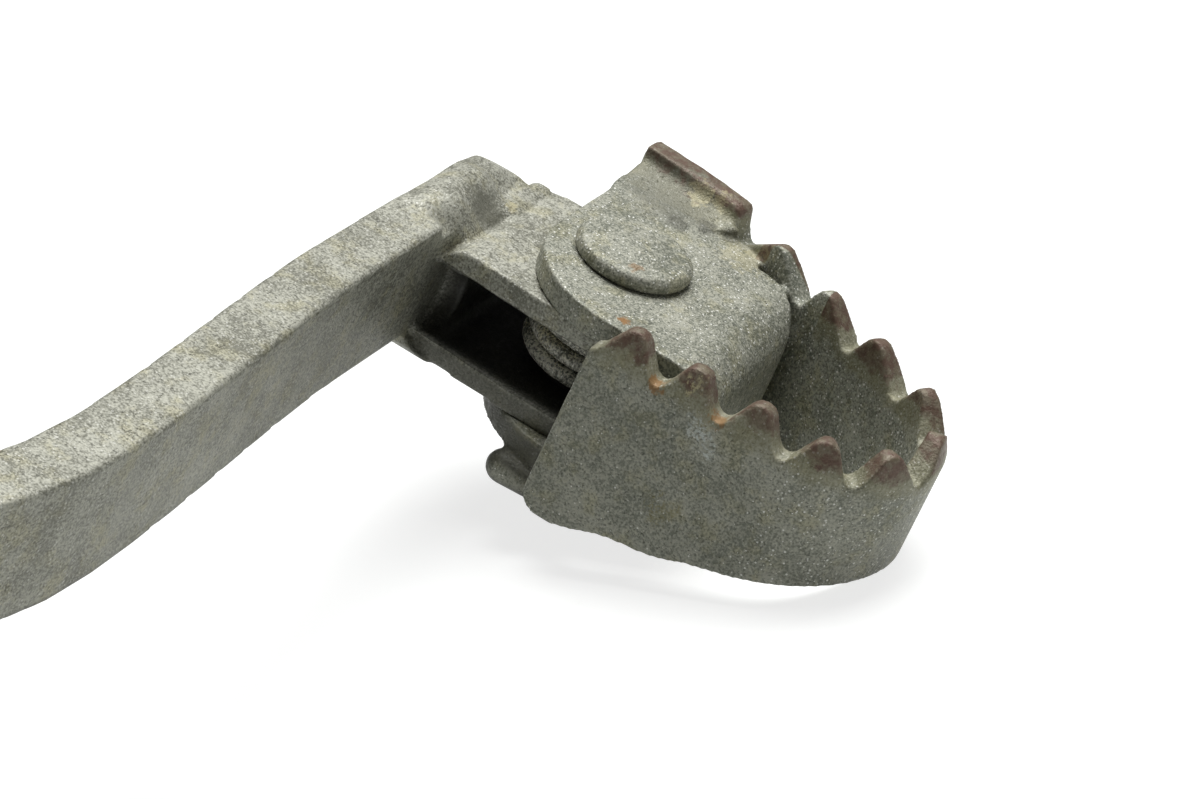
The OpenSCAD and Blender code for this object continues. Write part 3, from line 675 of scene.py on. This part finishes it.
# %% Molten metal
def filler_bar(start, end, radius):
    """A round bar between two points, which stands for molten metal run into a groove."""
    way = end - start
    bpy.ops.mesh.primitive_cylinder_add(
        vertices=24, radius=radius * MM, depth=way.length, location=(start + end) / 2,
        rotation=way.to_track_quat("Z", "Y").to_euler())
    bar = bpy.context.object
    bpy.ops.object.transform_apply(location=True, rotation=True, scale=True)
    return bar


def filler_ball(centre, radius):
    """A ball that stands for a drop of molten metal."""
    bpy.ops.mesh.primitive_uv_sphere_add(
        segments=32, ring_count=16, radius=radius * MM, location=centre)
    ball = bpy.context.object
    bpy.ops.object.transform_apply(location=True, rotation=True, scale=True)
    return ball


fold_groove = filler_bar(tip_point(-18.8, 1, 6.5), tip_point(-18.8, 12.6, 6.5), 2.3)
face_groove = filler_bar(tip_point(-20.0, -10.5, 6.9), tip_point(-20.0, 10.0, 6.9), 2.1)
mound_rear = filler_ball(tip_point(-23.9, -9.0, 7.6), 4.8)
mound_front = filler_ball(tip_point(-23.9, -5.0, 7.4), 4.2)
print("four fillers along", round((clevis_hi.x - clevis_lo.x) / MM, 1), "mm of clevis")

# %% [markdown]
# The bar, the clevis and its two beads become one piece, as the welding made them one. A
# voxel of half a millimetre keeps the plates' edges. Then single places get more smoothing:
# the groove beside the bar, the mound, and the bar's end, which the real one has well
# rounded.

# %% Arm and clevis
ARM_VOXEL = 0.5
arm_parts = ["arm", "clevis", "clevis_weld_top", "clevis_weld_bottom"]
arm = worn_copy("worn_arm", arm_parts, ARM_VOXEL, soften=3,
                fillers=[fold_groove, face_groove, mound_rear, mound_front])
for y in (-11, -5, 1, 8):
    soften_near(arm, (-20.5, y, 9.8), radius=4.5, iterations=6)
soften_near(arm, (-23.9, -7.5, 10.0), radius=8, iterations=14)
soften_near(arm, (-27.5, 9, 10.5), radius=7, iterations=25)
finish(arm, arm_parts, "pedal", arm_mat)

# %% [markdown]
# The tip needs finer voxels, because its teeth are small and their tips thin. It is also
# the piece that boots have polished longest, so all of it is smoothed more. The foot of the
# wide tooth, where the band was welded to the ear, and its long upper edge get some more.

# %% Tip
TIP_VOXEL = 0.4
tip_parts = ["tip_bracket", "toothed_band", "band_weld_top", "band_weld_bottom", "band_weld_near"]
tip = worn_copy("worn_tip", tip_parts, TIP_VOXEL, soften=5)
for x, y in ((-9, 14), (-5, 16.5), (0, 17.5)):
    soften_near(tip, (x, y, 13), radius=5, iterations=6)
for x, y in ((-7, 19), (-3, 21), (1, 23), (5, 24)):
    soften_near(tip, (x, y, 16.5), radius=5, iterations=14)
finish(tip, tip_parts, "tip", tip_mat)

# %% [markdown]
# The rivet's head was struck with a hammer and then worn, so it is made in the same way as
# the tip. It turns with the tip and has the tip's finish, with its rust spot.

# %% Rivet
RIVET_VOXEL = 0.35
rivet = worn_copy("worn_rivet", ["rivet"], RIVET_VOXEL, soften=3)
finish(rivet, ["rivet"], "tip", tip_mat)

# %% [markdown]
# The spring's coils nearly touch, so voxels would melt them into one tube. Its copy is only
# merged and given one level of subdivision, which keeps the dark lines between the turns.

# %% Spring
spring = merged_copy("worn_spring", ["torsion_spring"])
apply_modifier(spring, "SUBSURF", levels=1, render_levels=1)
finish(spring, ["torsion_spring"], "pedal", spring_steel)

# %% [markdown]
# The pivot, the lever and the stop at the rear are out of the photograph. Their solids are
# already true to such pieces, so they stay and only take a finish: beads as welds, bushes
# as bronze, seals as rubber and the rest as the bar.

# %% Finishes of the kept solids
kept_finishes = {"weld": weld_steel, "bush": bronze, "seal": rubber}
for name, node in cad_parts.items():
    if node.hide_render:
        continue
    chosen = arm_mat
    for word, material in kept_finishes.items():
        if word in name:
            chosen = material
    node.data.materials.clear()
    node.data.materials.append(chosen)
    print(name, "keeps its solid and gets", chosen.name)

# %% [markdown]
# The standard view shows a colour about as it is written.

# %% Look settings
bpy.context.scene.view_settings.view_transform = "Standard"
